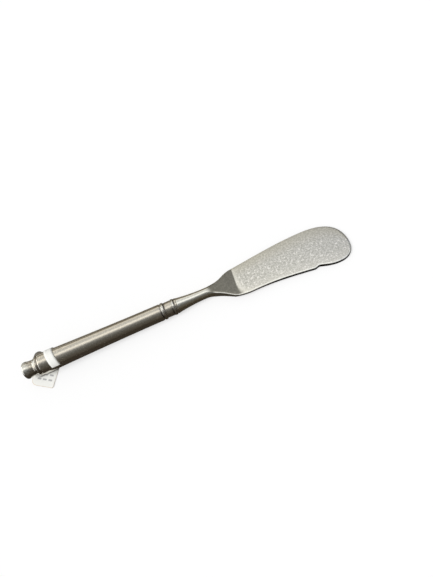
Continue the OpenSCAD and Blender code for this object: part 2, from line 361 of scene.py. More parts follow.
def stretched(tree, value, low, high, to_low=0.0, to_high=1.0):
    """A value brought from one range into another."""
    node = add_node(tree, "ShaderNodeMapRange", From_Min=low, From_Max=high, To_Min=to_low, To_Max=to_high)
    tree.links.new(value, node.inputs["Value"])
    return node.outputs["Result"]


def joined(tree, operation, a, b):
    """Two values joined by a sum, a product or the like."""
    node = add_node(tree, "ShaderNodeMath", operation=operation)
    tree.links.new(a, node.inputs[0])
    tree.links.new(b, node.inputs[1])
    return node.outputs[0]


def mixed(tree, factor, a, b):
    """A colour between two others, each given as a colour or as a socket."""
    node = add_node(tree, "ShaderNodeMix", data_type="RGBA")
    tree.links.new(factor, node.inputs["Factor"])
    for side, value in (("A", a), ("B", b)):
        socket = [s for s in node.inputs if s.name == side and s.type == "RGBA"][0]
        if isinstance(value, bpy.types.NodeSocket):
            tree.links.new(value, socket)
        else:
            socket.default_value = (*value, 1.0)
    return [s for s in node.outputs if s.type == "RGBA"][0]


def blended(tree, factor, value, target):
    """A value drawn towards a set one."""
    node = add_node(tree, "ShaderNodeMix", data_type="FLOAT", B=target)
    tree.links.new(factor, node.inputs["Factor"])
    tree.links.new(value, node.inputs["A"])
    return node.outputs[0]


def scaled(colour, factor):
    """A colour made lighter or darker."""
    return tuple(min(1.0, c * factor) for c in colour)


def new_material(name):
    """A material with only its Principled BSDF."""
    material = bpy.data.materials.new(name)
    material.use_nodes = True
    return material, material.node_tree, material.node_tree.nodes["Principled BSDF"]


def mark_value(tree, label):
    """A named value that the piece carries at each point."""
    return add_node(tree, "ShaderNodeAttribute", attribute_name=label).outputs["Fac"]


# Finishes

# The steel's grain: the noise levels between which it shows, and how soft the rim of a sparkle is
GRAIN_LOW, GRAIN_HIGH = 0.38, 0.85
SPARKLE_SOFT = 0.14
# The hairlines' two directions in radians, and the noise levels between which they show
HAIRLINE_TURNS = (0.5, 1.9)
HAIRLINE_LOW, HAIRLINE_HIGH = 0.74, 0.8
# How far mottle goes below and above a colour, and how strong it is on the marked parts of the steel
MOTTLE_BELOW, MOTTLE_ABOVE = 0.5, 1.5
MARK_MOTTLE = 0.2
# How much lighter sparkles and hairlines are than the steel, and how far its roughness strays
SPARKLE_LIGHT, HAIRLINE_LIGHT = 1.5, 1.25
ROUGH_STRAY = 0.04
DENT_DEPTH, SPECK_DEPTH = 0.1 * MM, 0.02 * MM
# The darkest and lightest of the paper's faint cloud, and the depth of its tooth
CLOUD_DARK, CLOUD_LIGHT = 0.985, 1.01
TOOTH_DEPTH = 0.02 * MM


def tumbled_grain():
    """Node group for the fine mottle, sparkle and dents that tumbling leaves on steel."""
    tree, given, out = new_group(
        "tumbled_grain",
        [("Grain Scale", 2000.0), ("Sparkle Scale", 1500.0), ("Sparkle Cut", 0.63), ("Dent Scale", 650.0)],
        ["Mottle", "Sparkle", "Dents"],
    )
    link = tree.links.new
    place = add_node(tree, "ShaderNodeTexCoord")
    textures = {}
    for label, detail in (("Grain", 1.0), ("Sparkle", 0.0), ("Dent", 2.0)):
        noise = add_node(tree, "ShaderNodeTexNoise", Detail=detail)
        link(place.outputs["Object"], noise.inputs["Vector"])
        link(given.outputs[label + " Scale"], noise.inputs["Scale"])
        textures[label] = noise.outputs["Fac"]
    cut_end = add_node(tree, "ShaderNodeMath", operation="ADD")
    cut_end.inputs[1].default_value = SPARKLE_SOFT
    link(given.outputs["Sparkle Cut"], cut_end.inputs[0])
    cut = add_node(tree, "ShaderNodeMapRange", interpolation_type="SMOOTHSTEP")
    link(textures["Sparkle"], cut.inputs["Value"])
    link(given.outputs["Sparkle Cut"], cut.inputs["From Min"])
    link(cut_end.outputs[0], cut.inputs["From Max"])
    link(stretched(tree, textures["Grain"], GRAIN_LOW, GRAIN_HIGH), out.inputs["Mottle"])
    link(cut.outputs["Result"], out.inputs["Sparkle"])
    link(textures["Dent"], out.inputs["Dents"])
    return tree


def hairlines():
    """Node group for short fine scratches that run two ways over the steel."""
    tree, given, out = new_group("hairlines", [("Scale", 330.0), ("Stretch", 8.0)], ["Mask"])
    link = tree.links.new
    place = add_node(tree, "ShaderNodeTexCoord")
    stretch = add_node(tree, "ShaderNodeCombineXYZ", X=1.0, Z=1.0)
    link(given.outputs["Stretch"], stretch.inputs["Y"])
    masks = []
    for turn in HAIRLINE_TURNS:
        turned_place = add_node(tree, "ShaderNodeVectorRotate", rotation_type="Z_AXIS", Angle=turn)
        longer = add_node(tree, "ShaderNodeVectorMath", operation="MULTIPLY")
        lines = add_node(tree, "ShaderNodeTexNoise", Detail=0.0)
        link(place.outputs["Object"], turned_place.inputs["Vector"])
        link(turned_place.outputs["Vector"], longer.inputs[0])
        link(stretch.outputs["Vector"], longer.inputs[1])
        link(longer.outputs["Vector"], lines.inputs["Vector"])
        link(given.outputs["Scale"], lines.inputs["Scale"])
        masks.append(stretched(tree, lines.outputs["Fac"], HAIRLINE_LOW, HAIRLINE_HIGH))
    link(joined(tree, "MAXIMUM", *masks), out.inputs["Mask"])
    return tree


def paper_fibre():
    """Node group for the faint cloud and tooth of smooth paper."""
    tree, given, out = new_group("paper_fibre", [("Scale", 1500.0)], ["Cloud", "Tooth"])
    link = tree.links.new
    place = add_node(tree, "ShaderNodeTexCoord")
    tooth = add_node(tree, "ShaderNodeTexNoise", Detail=4.0)
    cloud = add_node(tree, "ShaderNodeTexNoise", Scale=300.0, Detail=2.0)
    for noise in (tooth, cloud):
        link(place.outputs["Object"], noise.inputs["Vector"])
    link(given.outputs["Scale"], tooth.inputs["Scale"])
    link(cloud.outputs["Fac"], out.inputs["Cloud"])
    link(tooth.outputs["Fac"], out.inputs["Tooth"])
    return tree


def mottled(tree, surface, colour, mottle):
    """A colour with more light specks than dark ones, the same on the whole."""
    dark, light = scaled(colour, 1 - MOTTLE_BELOW * mottle), scaled(colour, 1 + MOTTLE_ABOVE * mottle)
    return mixed(tree, surface.outputs["Mottle"], dark, light)


def tumbled_steel(name, colour, mottle, rough, dents, grain, marks=()):
    """Tumbled steel with mottle, sparkle, hairlines and dents.

    Each mark gives another colour and roughness where the piece carries it."""
    material, tree, shader = new_material(name)
    link = tree.links.new
    surface = group_node(tree, tumbled_grain, **grain)
    lines = group_node(tree, hairlines)
    tone = mottled(tree, surface, colour, mottle)
    tone = mixed(tree, surface.outputs["Sparkle"], tone, scaled(colour, SPARKLE_LIGHT))
    tone = mixed(tree, lines.outputs["Mask"], tone, scaled(colour, HAIRLINE_LIGHT))
    smoother, rougher = rough - ROUGH_STRAY, rough + ROUGH_STRAY
    roughness = stretched(tree, surface.outputs["Mottle"], 0.0, 1.0, smoother, rougher)
    for label, mark_colour, mark_rough in marks:
        there = mark_value(tree, label)
        tone = mixed(tree, there, tone, mottled(tree, surface, mark_colour, MARK_MOTTLE))
        roughness = blended(tree, there, roughness, mark_rough)
    link(tone, shader.inputs["Base Color"])
    link(roughness, shader.inputs["Roughness"])
    relief = add_node(tree, "ShaderNodeBump", Strength=dents, Distance=DENT_DEPTH)
    specks = add_node(tree, "ShaderNodeBump", Strength=0.6, Distance=SPECK_DEPTH)
    link(surface.outputs["Dents"], relief.inputs["Height"])
    link(surface.outputs["Sparkle"], specks.inputs["Height"])
    link(relief.outputs["Normal"], specks.inputs["Normal"])
    link(specks.outputs["Normal"], shader.inputs["Normal"])
    shader.inputs["Metallic"].default_value = 1.0
    return material


def tag_paper(name, colour, marks, bars=None):
    """Smooth paper with a faint cloud, and with plain soft bars where their colour is given.

    Each mark gives another colour where the piece carries it."""
    material, tree, shader = new_material(name)
    link = tree.links.new
    fibre = group_node(tree, paper_fibre)
    tone = mixed(tree, fibre.outputs["Cloud"], scaled(colour, CLOUD_DARK), scaled(colour, CLOUD_LIGHT))
    if bars:
        tone = mixed(tree, bar_mask(tree), tone, bars)
    for label, mark_colour in marks:
        tone = mixed(tree, mark_value(tree, label), tone, mark_colour)
    link(tone, shader.inputs["Base Color"])
    relief = add_node(tree, "ShaderNodeBump", Strength=0.12, Distance=TOOTH_DEPTH)
    link(fibre.outputs["Tooth"], relief.inputs["Height"])
    link(relief.outputs["Normal"], shader.inputs["Normal"])
    shader.inputs["Roughness"].default_value = 0.7
    return material


# Plain bars on the leaf: rows at these places along the sheet, strokes at these places across it
BAR_ROWS = (-8.3 * MM, -6.2 * MM)
BAR_STROKES = (1.4 * MM, 4.0 * MM, 6.4 * MM)
BAR_HALF_ROW = 0.35 * MM
BAR_HALF_STROKE = 0.85 * MM
BAR_BLUR = 0.15 * MM


def near_any(tree, value, places, half):
    """Mask of where a value lies within half of any of the places."""
    masks = []
    for place in places:
        apart = add_node(tree, "ShaderNodeMath", operation="SUBTRACT")
        apart.inputs[1].default_value = place
        size = add_node(tree, "ShaderNodeMath", operation="ABSOLUTE")
        tree.links.new(value, apart.inputs[0])
        tree.links.new(apart.outputs[0], size.inputs[0])
        masks.append(stretched(tree, size.outputs[0], half + BAR_BLUR, half - BAR_BLUR))
    found = masks[0]
    for mask in masks[1:]:
        found = joined(tree, "MAXIMUM", found, mask)
    return found


def bar_mask(tree):
    """Mask of the plain bars on the leaf."""
    place = add_node(tree, "ShaderNodeAttribute", attribute_name="sheet")
    parts = add_node(tree, "ShaderNodeSeparateXYZ")
    tree.links.new(place.outputs["Vector"], parts.inputs["Vector"])
    rows = near_any(tree, parts.outputs["X"], BAR_ROWS, BAR_HALF_ROW)
    strokes = near_any(tree, parts.outputs["Y"], BAR_STROKES, BAR_HALF_STROKE)
    return joined(tree, "MULTIPLY", rows, strokes)


# The blade

# Shares of an edge curve's length at which its control points stand
BACK_SHARE = 0.5
FRONT_SHARE = 0.33
HEEL_SHARE = 0.2
TIP_SHARE = 0.66
# Slopes of the edges where two curves join, rise over run towards the tip
BACK_SHOULDER_SLOPE = 0.2
BACK_HEEL_SLOPE = 0.11
FRONT_SHOULDER_SLOPE = -0.65
FRONT_HEEL_SLOPE = 0.03
BELLY_SLOPE = -0.137
NOTCH_SLOPE = -0.35
# The edges' corners are worn round: the step between their points, and the passes over each edge
EDGE_STEP = 0.1 * MM
BACK_PASSES, FRONT_PASSES = 90, 4
# From the thin neck: where the shoulders and the facets start, and where each edge is fully formed
OUTLINE_START = 1.4 * MM
BACK_LATER = 2.0 * MM
FACET_START = 2.4 * MM
FAR_WORN_FROM, FAR_WORN_TO = 0.6 * MM, 8.0 * MM
NEAR_WORN_FROM, NEAR_WORN_TO = 0.0, 4.8 * MM
# Where the painted shade on the facets comes in, from the thin neck
FACET_MARK_FROM, FACET_MARK_TO = 0.4 * MM, 2.8 * MM
# From the crease: where the wall takes its painted dark shade and leans, and how far the edges' points lean
# with the crease
WALL_FROM, WALL_TO = 6.0 * MM, 20.0 * MM
LEAN_HALF, LEAN_END = 5.0 * MM, 20.0 * MM
# From the tip: up to where the flat is drawn straight across, and where the tip's rounding is full
LADDER_END = 19.0 * MM
TIP_ROUNDED = 1.0 * MM
# The filed rim of the notch: how far its middle lies towards the tip, and its half length
FILED_AHEAD, FILED_HALF = 1.7 * MM, 2.0 * MM
# Rows of points on the neck, shoulders, flat and tip, the gaps after the first two and before the flat,
# and the close rows at the crease
NECK_ROWS, SHOULDER_ROWS, FLAT_ROWS, TIP_ROWS = 26, 46, 70, 64
NECK_GAP, SHOULDER_GAP, FLAT_GAP = 0.4 * MM, 0.6 * MM, 0.7 * MM
CREASE_ROWS = (-0.3 * MM, -0.1 * MM, 0.1 * MM, 0.3 * MM)
# Points on a worn edge's roll and rounding and across the flat, and how far an edge runs onto the flat
ROLL_POINTS, ROUND_POINTS, RUNGS = 4, 8, 7
FLAT_RUN, FLAT_RUN_SHARE = 0.15 * MM, 0.4
# Rounding of the neck where no edge is formed yet, as a share of half its thickness
NECK_ROUND = 0.985
# The painted warm reflection on the neck's flanks: heights as shares of half its thickness, and how far
# behind the crease they fade
FLANK_TOP, FLANK_FULL = 1.0, 0.6
FLANK_FADE = 6.0 * MM
# The painted shade of a facet ends by the crease, but near the notched edge a foot of it runs on past the
# crease
FACET_BEHIND, FACET_AHEAD = 0.1 * MM, 0.3 * MM
FACET_FOOT = 1.2 * MM
FACET_FOOT_SHARE = 0.4
# Where the foot's painted shade ends and where the painted highlight band stands there, in lengths of the
# foot
FOOT_END, FOOT_BAND = 2.0, 1.6
# The painted highlight along the crease, what it loses towards the plain edge, and the painted highlight
# along the notched edge
CREASE_AHEAD, CREASE_HALF = 0.6 * MM, 1.2 * MM
CREASE_LOSS = 0.6
RIM_LIGHT = 0.3
RIM_LIGHT_SHARE = 0.25
# The painted shade, darker and warmer, by the plain edge, in shares of the way across from the notched one
PLAIN_SHADE_FROM, PLAIN_SHADE_TO = 0.55, 1.05
# Marks on a worn edge, in shares of the way in from its side to the flat: where the facet's painted shade
# starts on the plain and on the notched edge, where the painted highlight band starts, and how far polish and
# the wall's painted shade reach
BACK_DARK, FRONT_DARK = 0.1, 0.5
BAND_START = 0.9
POLISH_REACH, WALL_REACH = 0.8, 0.1
# Only the notched edge is polished
BACK_POLISH, FRONT_POLISH = 0.0, 1.0
# Marks on the blade, each named like its colour, with its roughness: polish is a real finish, the others are
# painted shade, painted highlight and a painted warm reflection
BLADE_MARKS = (
    ("warm", 0.3), ("polish", 0.16), ("flank", 0.16), ("crease", 0.3), ("facet", 0.28), ("wall", 0.3),
)


def blade_places(b):
    """Where the thin neck ends, the shoulders start and the crease lies along the knife."""
    thin_x = b.neck_x + b.neck_length
    return thin_x, thin_x + OUTLINE_START, thin_x + b.shoulder_length


def blade_edges(b):
    """The blade's plain and notched edges from the thin neck to the tip, as lines of (x, y)."""
    _, root_x, crease_x = blade_places(b)
    tip = (b.tip_x, -b.tip_drop)
    root_y = b.neck_d / 2
    back_shoulder = (crease_x, b.back_heel)
    wide = (b.tip_x - b.back_from_tip, b.back_reach)
    back = np.concatenate([
        edge_curve((root_x + BACK_LATER, root_y), 0.0, back_shoulder, BACK_SHOULDER_SLOPE, BACK_SHARE),
        edge_curve(back_shoulder, BACK_HEEL_SLOPE, wide, 0.0),
        corner_curve(wide, (tip[0], wide[1]), tip, TIP_SHARE),
        [tip],
    ])
    shoulder = (crease_x - b.shoulder_behind, -b.front_shoulder)
    heel = (crease_x + b.heel_ahead, -b.front_heel)
    belly = (b.tip_x - b.belly_from_tip, -b.belly_reach)
    notch = (b.tip_x - b.notch_from_tip, b.notch_depth - b.belly_reach)
    lobe = (b.tip_x - b.lobe_from_tip, -b.lobe_reach)
    front = np.concatenate([
        edge_curve((root_x, -root_y), 0.0, shoulder, FRONT_SHOULDER_SLOPE, FRONT_SHARE),
        edge_curve(shoulder, FRONT_SHOULDER_SLOPE, heel, FRONT_HEEL_SLOPE, HEEL_SHARE),
        edge_curve(heel, FRONT_HEEL_SLOPE, belly, BELLY_SLOPE),
        edge_curve(belly, 0.0, notch, 0.0),
        edge_curve(notch, NOTCH_SLOPE, lobe, 0.0),
        corner_curve(lobe, (tip[0], lobe[1]), tip, TIP_SHARE),
        [tip],
    ])
    return softened(back, EDGE_STEP, BACK_PASSES), softened(front, EDGE_STEP, FRONT_PASSES)


def neck_radius(b, x):
    """Radius of the turned neck at places along the knife."""
    thin_x, _, _ = blade_places(b)
    rear, thin = b.neck_rear_d / 2, b.neck_d / 2
    run = CURVE_SHARE * b.neck_length
    narrowed = rear - CURVE_SHARE * (b.neck_rear_d - b.neck_d)
    line = cubic((b.neck_x, rear), (b.neck_x + run, narrowed), (thin_x - run, thin), (thin_x, thin))
    return np.interp(x, line[:, 0], line[:, 1], right=thin)


def blade_stations(b):
    """Places along the knife, and the points of the plain and notched edges that belong to each."""
    _, root_x, crease_x = blade_places(b)
    ladder_x = b.tip_x - LADDER_END
    xs = np.concatenate([
        np.linspace(b.neck_x, root_x - NECK_GAP, NECK_ROWS),
        np.linspace(root_x, crease_x - SHOULDER_GAP, SHOULDER_ROWS),
        crease_x + np.array(CREASE_ROWS),
        np.linspace(crease_x + FLAT_GAP, ladder_x, FLAT_ROWS),
    ])
    lean = b.crease_skew * np.exp(-(((xs - crease_x) / LEAN_HALF) ** 2))
    lean[xs > crease_x + LEAN_END] = 0.0
    neck = neck_radius(b, xs)
    edges = []
    for line, side in zip(blade_edges(b), (1.0, -1.0)):
        y = np.where(xs < root_x, side * neck, np.interp(xs, line[:, 0], line[:, 1]))
        leant = xs + np.where(xs < root_x, 0.0, lean * y)
        y = np.where(xs < root_x, y, np.interp(leant, line[:, 0], line[:, 1]))
        straight = np.stack([leant, y], axis=1)
        first = int(np.argmax(line[:, 0] > ladder_x))
        round_tip = resampled(np.concatenate([straight[-1:], line[first:]]), TIP_ROWS)
        edges.append(np.concatenate([straight, round_tip[1:]]))
    return np.concatenate([xs, np.full(TIP_ROWS - 1, b.tip_x)]), *edges


def inward(line, side, worn):
    """Unit vectors into the blade from one edge, straight across the neck where nothing is worn yet."""
    tangent = np.gradient(line, axis=0)
    tangent[-1] = (0.0, -side)
    tangent /= np.linalg.norm(tangent, axis=1)[:, None]
    into = side * np.stack([tangent[:, 1], -tangent[:, 0]], axis=1)
    across = np.array([[0.0, -side]])
    into = worn[:, None] * into + (1 - worn[:, None]) * across
    return into / np.linalg.norm(into, axis=1)[:, None]


def edge_section(half, round_r, roll_r, turn, room):
    """Section of a worn edge as (inset, height), from the upper flat round the side to the lower flat."""
    reach = round_r * (1 - math.sin(turn)) + roll_r * math.sin(turn)
    side_z = half - roll_r * (1 - math.cos(turn)) - round_r * math.cos(turn)
    upper = [(reach + min(FLAT_RUN, FLAT_RUN_SHARE * max(0.0, room - reach)), half)]
    for a in np.linspace(0.0, turn, ROLL_POINTS):
        upper.append((reach - roll_r * math.sin(a), half - roll_r * (1 - math.cos(a))))
    for a in np.linspace(turn, math.pi / 2, ROUND_POINTS)[1:]:
        upper.append((round_r * (1 - math.sin(a)), side_z + round_r * math.cos(a)))
    return upper + [(inset, -z) for inset, z in reversed(upper)]


def face_marks(b, xs, way):
    """Marks along the knife at a share of the way from the notched edge to the plain one.

    They are painted shade on the facet, a painted highlight along the crease and the notched edge, and
    painted shade, darker and warmer, along the plain edge."""
    thin_x, _, crease_x = blade_places(b)
    foot = FACET_FOOT * max(0.0, 1 - way / FACET_FOOT_SHARE) ** 2
    ahead = soft_step(crease_x - FACET_BEHIND, crease_x + FACET_AHEAD + FOOT_END * foot, xs)
    facet = soft_step(thin_x + FACET_MARK_FROM, thin_x + FACET_MARK_TO, xs) * (1 - ahead)
    band_x = crease_x + CREASE_AHEAD + FOOT_BAND * foot
    band = (1 - CREASE_LOSS * way) * np.exp(-(((xs - band_x) / (CREASE_HALF + foot)) ** 2))
    rim = RIM_LIGHT * max(0.0, 1 - way / RIM_LIGHT_SHARE)
    warm = soft_step(PLAIN_SHADE_FROM, PLAIN_SHADE_TO, way)
    return facet, np.maximum(band, rim) * (xs > crease_x), warm * (xs > crease_x)


def notched_wear(b, front, sheared):
    """The notched edge's rounding, and how far its upper rim is set back, at each row."""
    at_tip = soft_step(b.tip_x - b.lobe_from_tip, b.tip_x - TIP_ROUNDED, front[:, 0])
    rounding = b.notched_round + (b.edge_round - b.notched_round) * at_tip
    filed_x = b.tip_x - b.notch_from_tip + FILED_AHEAD
    filed = b.notch_filed * np.exp(-(((front[:, 0] - filed_x) / FILED_HALF) ** 2))
    return rounding, filed + b.wall_lean * sheared * (1 - at_tip)


def blade_shape(b):
    """Vertices, faces and marks of the forged blade: painted shade on the facets and wall, polished neck and
    edge, and a painted highlight by the crease.
    """
    xs, back, front = blade_stations(b)
    thin_x, _, crease_x = blade_places(b)
    far_worn = soft_step(thin_x + FAR_WORN_FROM, thin_x + FAR_WORN_TO, xs)
    near_worn = soft_step(thin_x + NEAR_WORN_FROM, thin_x + NEAR_WORN_TO, xs)
    back_in, front_in = inward(back, 1.0, far_worn), inward(front, -1.0, near_worn)
    slope = np.interp(xs, [thin_x + FACET_START, crease_x], [b.neck_d / 2, b.thickness / 2])
    half = np.where(xs < thin_x + FACET_START, neck_radius(b, xs), slope)
    neck = 1 - soft_step(thin_x, thin_x + FAR_WORN_TO, xs)
    flanks = 1 - soft_step(crease_x - FLANK_FADE, crease_x, xs)
    sheared = soft_step(crease_x + WALL_FROM, crease_x + WALL_TO, xs)
    near_round, filed = notched_wear(b, front, sheared)
    rungs = np.linspace(0.0, 1.0, RUNGS + 2)[1:-1]
    faces_across = np.array([face_marks(b, xs, way) for way in (0.0, *rungs, 1.0)])
    verts, marks = [], {label: [] for label, _ in BLADE_MARKS}
    for i in range(len(xs)):
        room = np.linalg.norm(back[i] - front[i]) / 2
        sections = []
        for edge_r, worn in ((b.edge_round, far_worn[i]), (near_round[i], near_worn[i])):
            round_r = NECK_ROUND * half[i] * (1 - worn) + edge_r * worn
            sections.append(edge_section(half[i], round_r, b.edge_roll, b.roll_turn * worn, room))
        far_side = [(*(back[i] + d * back_in[i]), z) for d, z in sections[0]]
        near_side = []
        for d, z in reversed(sections[1]):
            # The wall is set back fully at its upper rim and not at all at its foot
            set_back = filed[i] * (0.5 + 0.5 * z / half[i])
            near_side.append((*(front[i] + (d + set_back) * front_in[i]), z))
        shades = faces_across[:, :, i]
        for edge, across, section, dark_from, shine, (facet, band, warm) in (
            (far_side, near_side, sections[0], BACK_DARK, BACK_POLISH, shades[::-1].T),
            (near_side, far_side, sections[1], FRONT_DARK, FRONT_POLISH, shades.T),
        ):
            start, end = np.array(edge[-1]), np.array(across[0])
            verts += edge
            verts += [tuple(start + t * (end - start)) for t in rungs]
            inset = np.array([d for d, _ in section]) / max(d for d, _ in section)
            height = np.array([abs(z) for *_, z in edge]) / half[i]
            bare = [0.0] * RUNGS
            # Of these marks only polish is a real finish: the warm steel and the facet and wall marks are
            # painted shade, the flank mark is a painted warm reflection and the crease mark is a painted
            # highlight
            for label, on_edge, on_flat in (
                ("warm", [warm[0]] * len(edge), warm[1:-1]),
                ("polish", np.maximum(neck[i], shine * (inset < POLISH_REACH)), [neck[i]] * RUNGS),
                ("flank", flanks[i] * soft_step(FLANK_TOP, FLANK_FULL, height), bare),
                ("crease", band[0] * (inset > BAND_START), band[1:-1]),
                ("facet", facet[0] * (inset > dark_from), facet[1:-1]),
                ("wall", sheared[i] * (inset < WALL_REACH), bare),
            ):
                marks[label] += [*on_edge, *on_flat]
    size = len(verts) // len(xs)
    faces = lofted(len(xs), size) + [tuple(range(size))]
    return (verts, faces), [(label, "FLOAT", values) for label, values in marks.items()]


class KNIFE_OT_blade(bpy.types.Operator):
    """Builds the forged blade with its neck, sloped facets and worn edges"""

    bl_idname = "knife.blade"
    bl_label = "Blade"

    def execute(self, context):
        looks = context.scene.knife_looks
        shape, marks = blade_shape(context.scene.blade_sizes)
        steel = tumbled_steel(
            "blade_tumbled_steel", tuple(looks.blade), mottle=0.38, rough=0.3, dents=0.05,
            grain={"Grain_Scale": 1350.0, "Sparkle_Scale": 1150.0, "Sparkle_Cut": 0.62},
            marks=[(label, tuple(getattr(looks, label)), rough) for label, rough in BLADE_MARKS],
        )
        new_piece("knife_blade", shape, "knife", "blade", steel, marks)
        return {"FINISHED"}


# The turned pieces

# The corners of the cap and the collar are worn round: the step between points, and the passes over each
TURNED_STEP = 0.08 * MM
CAP_PASSES, COLLAR_PASSES = 6, 4
# Points on each of the cap's hollow curves, and how far the shoulder bead's front runs down below its middle
CAP_CURVE_POINTS = 20
BEAD_FOOT = 0.35 * MM
# Rows of points along the handle, the ring on its rear face as a share of its radius,
# and the bevels at its ends, along the knife and in radius
HANDLE_ROWS = 60
REAR_RING = 0.7
REAR_BEVEL, FRONT_BEVEL = (0.3 * MM, 0.32 * MM), (0.1 * MM, 0.12 * MM)
# From a bead's foot to the bottom and to the end of the groove before it, and the bevel of the collar's front
GROOVE_BOTTOM, GROOVE_END = 0.1 * MM, 0.45 * MM
COLLAR_BEVEL = 0.12 * MM
# Rings of painted highlight and painted shade: half width, angle of the strongest place and spread of angles,
# both in degrees
SHOULDER_RING = (0.7 * MM, 8, 20)
BUTTON_RING = (1.5 * MM, -10, 80)
BEAD_RING = (0.6 * MM, 5, 35)
BEFORE_RING = (0.3 * MM, 20, 60)
BEHIND_RING = (0.3 * MM, -50, 35)
# Where the button's ring lies, in roundings of its edge, and where a bead's ring lies, in bead widths
BUTTON_RING_PLACE, BEAD_RING_PLACE = 1.5, 0.3
# How strong the shoulder's painted highlight is, and how strong the painted shade in the grooves is at most
SHOULDER_SHINE, MOST_GROOVE_SHADE = 0.8, 0.9


def cap_profile(s):
    """Profile of the end cap from its flat end to the handle."""
    edge, bead = s.button_edge, s.shoulder_width / 2
    button_r, waist_r = s.button_d / 2, s.waist_d / 2
    shoulder_x, bead_r = s.tube_x - bead, s.shoulder_d / 2 - bead
    onto = math.sqrt(0.5) * bead
    top = (shoulder_x - onto, bead_r + onto)
    run = CURVE_SHARE * (shoulder_x - s.cove_x)
    fall = (s.cove_x - edge) / 2
    low = (s.cove_x, waist_r)
    waist = cubic((edge, button_r), (edge + fall, button_r), (edge + fall, waist_r), low, CAP_CURVE_POINTS)
    cove = cubic(low, (s.cove_x + run, waist_r), (top[0] - run, top[1] - run), top, CAP_CURVE_POINTS)
    line = (
        [(0.0, 0.0)]
        + arc((edge, button_r - edge), edge, 180, 95)
        + [tuple(p) for p in np.concatenate([waist, cove])]
        + arc((shoulder_x, bead_r), bead, 135, 5)
        + [(s.tube_x, bead_r - BEAD_FOOT), (s.tube_x, 0.0)]
    )
    return softened(line, TURNED_STEP, CAP_PASSES)


def handle_profile(s):
    """Profile of the handle from its rear end to the collar."""
    back = np.linspace(1.0, 0.0, HANDLE_ROWS)
    xs = s.collar_x - (s.collar_x - s.tube_x) * back
    xs[0] += REAR_BEVEL[0]
    xs[-1] -= FRONT_BEVEL[0]
    rs = s.front_d / 2 + (s.rear_d - s.front_d) / 2 * back**s.flare
    rear = [(s.tube_x, 0.0), (s.tube_x, REAR_RING * rs[0]), (s.tube_x, rs[0] - REAR_BEVEL[1])]
    front = [(s.collar_x, rs[-1] - FRONT_BEVEL[1]), (s.collar_x, 0.0)]
    return np.concatenate([rear, np.stack([xs, rs], axis=1), front])


def collar_profile(s):
    """Profile of the collar with its two beads, and the places of the grooves behind and before them."""
    half, band_r = s.bead_width / 2, s.band_d / 2
    beads = (
        (s.collar_x + half, s.rear_bead_d),
        (s.collar_x + half + s.bead_spacing, s.front_bead_d),
    )
    line = [(s.collar_x, 0.0), (s.collar_x, band_r)]
    behind, before = [], []
    for at_x, d in beads:
        middle = d / 2 - half
        side = math.degrees(math.asin((band_r - middle) / half))
        out = half * math.cos(math.radians(side))
        line += arc((at_x, middle), half, 180 - side, side)
        line += [(at_x + out + GROOVE_BOTTOM, band_r - s.groove), (at_x + out + GROOVE_END, band_r)]
        behind.append(at_x - out)
        before.append(at_x + out)
    line += [(s.neck_x - COLLAR_BEVEL, band_r), (s.neck_x, band_r - COLLAR_BEVEL), (s.neck_x, 0.0)]
    return softened(line, TURNED_STEP, COLLAR_PASSES), behind, before


def ring_marks(profile, places, width, towards, spread):
    """Marks of rings round a turned piece, strongest at one side of it.

    Angles are from the top towards the far side."""
    near = sum(np.exp(-(((profile[:, 0] - x) / width) ** 2)) for x in places)
    off = np.linspace(0.0, 360.0, TURNED_SIDES, endpoint=False) - towards
    off = (off + 180) % 360 - 180
    return np.outer(np.clip(near, 0.0, 1.0), np.exp(-((off / spread) ** 2)))


def cap_marks(s, profile):
    """Painted highlights on the cap's shoulder bead and on its button, strongest near the top."""
    bead = SHOULDER_SHINE * ring_marks(profile, [s.tube_x - s.shoulder_width], *SHOULDER_RING)
    button = ring_marks(profile, [BUTTON_RING_PLACE * s.button_edge], *BUTTON_RING)
    return [("shine", "FLOAT", np.clip(bead + button, 0.0, 1.0))]


def collar_marks(s, profile, behind, before):
    """Painted highlights on the rear flank of each bead, and painted shade, partly patina, in the grooves
    behind and before it.
    """
    flanks = [x + BEAD_RING_PLACE * s.bead_width for x in behind]
    shine = ring_marks(profile, flanks, *BEAD_RING)
    grime = ring_marks(profile, before, *BEFORE_RING) + ring_marks(profile, behind, *BEHIND_RING)
    return [
        ("shine", "FLOAT", np.clip(shine, 0.0, 1.0)),
        ("groove", "FLOAT", np.clip(grime, 0.0, MOST_GROOVE_SHADE)),
    ]


class KNIFE_OT_turned(bpy.types.Operator):
    """Builds the turned end cap, handle and collar"""

    bl_idname = "knife.turned"
    bl_label = "Cap, handle and collar"

    def execute(self, context):
        s, looks = context.scene.turned_sizes, context.scene.knife_looks
        steel = tuple(looks.steel)
        # The shine mark is a painted highlight in the polish colour with a polished roughness, and the groove
        # mark is painted shade, partly patina
        shine, grime = ("shine", tuple(looks.polish), 0.14), ("groove", tuple(looks.grime), 0.4)
        dented, smooth = {"Dent_Scale": 1300.0}, {"Sparkle_Cut": 0.75, "Dent_Scale": 1500.0}
        cap = tumbled_steel(
            "cap_tumbled_steel", tuple(looks.cap), mottle=0.25, rough=0.22, dents=0.9,
            grain=dented, marks=[shine],
        )
        profile = cap_profile(s)
        marks = cap_marks(s, profile)
        new_piece("knife_end_cap", turned(profile), "knife", "end_cap", cap, marks)
        tube = tumbled_steel(
            "handle_tumbled_steel", steel, mottle=0.14, rough=0.2, dents=0.14, grain=smooth
        )
        new_piece("knife_handle", turned(handle_profile(s)), "knife", "handle_tube", tube)
        collar = tumbled_steel(
            "collar_tumbled_steel", steel, mottle=0.2, rough=0.2, dents=0.9,
            grain=dented, marks=[shine, grime],
        )
        profile, behind, before = collar_profile(s)
        marks = collar_marks(s, profile, behind, before)
        new_piece("knife_collar", turned(profile), "knife", "collar", collar, marks)
        return {"FINISHED"}


# The cement core

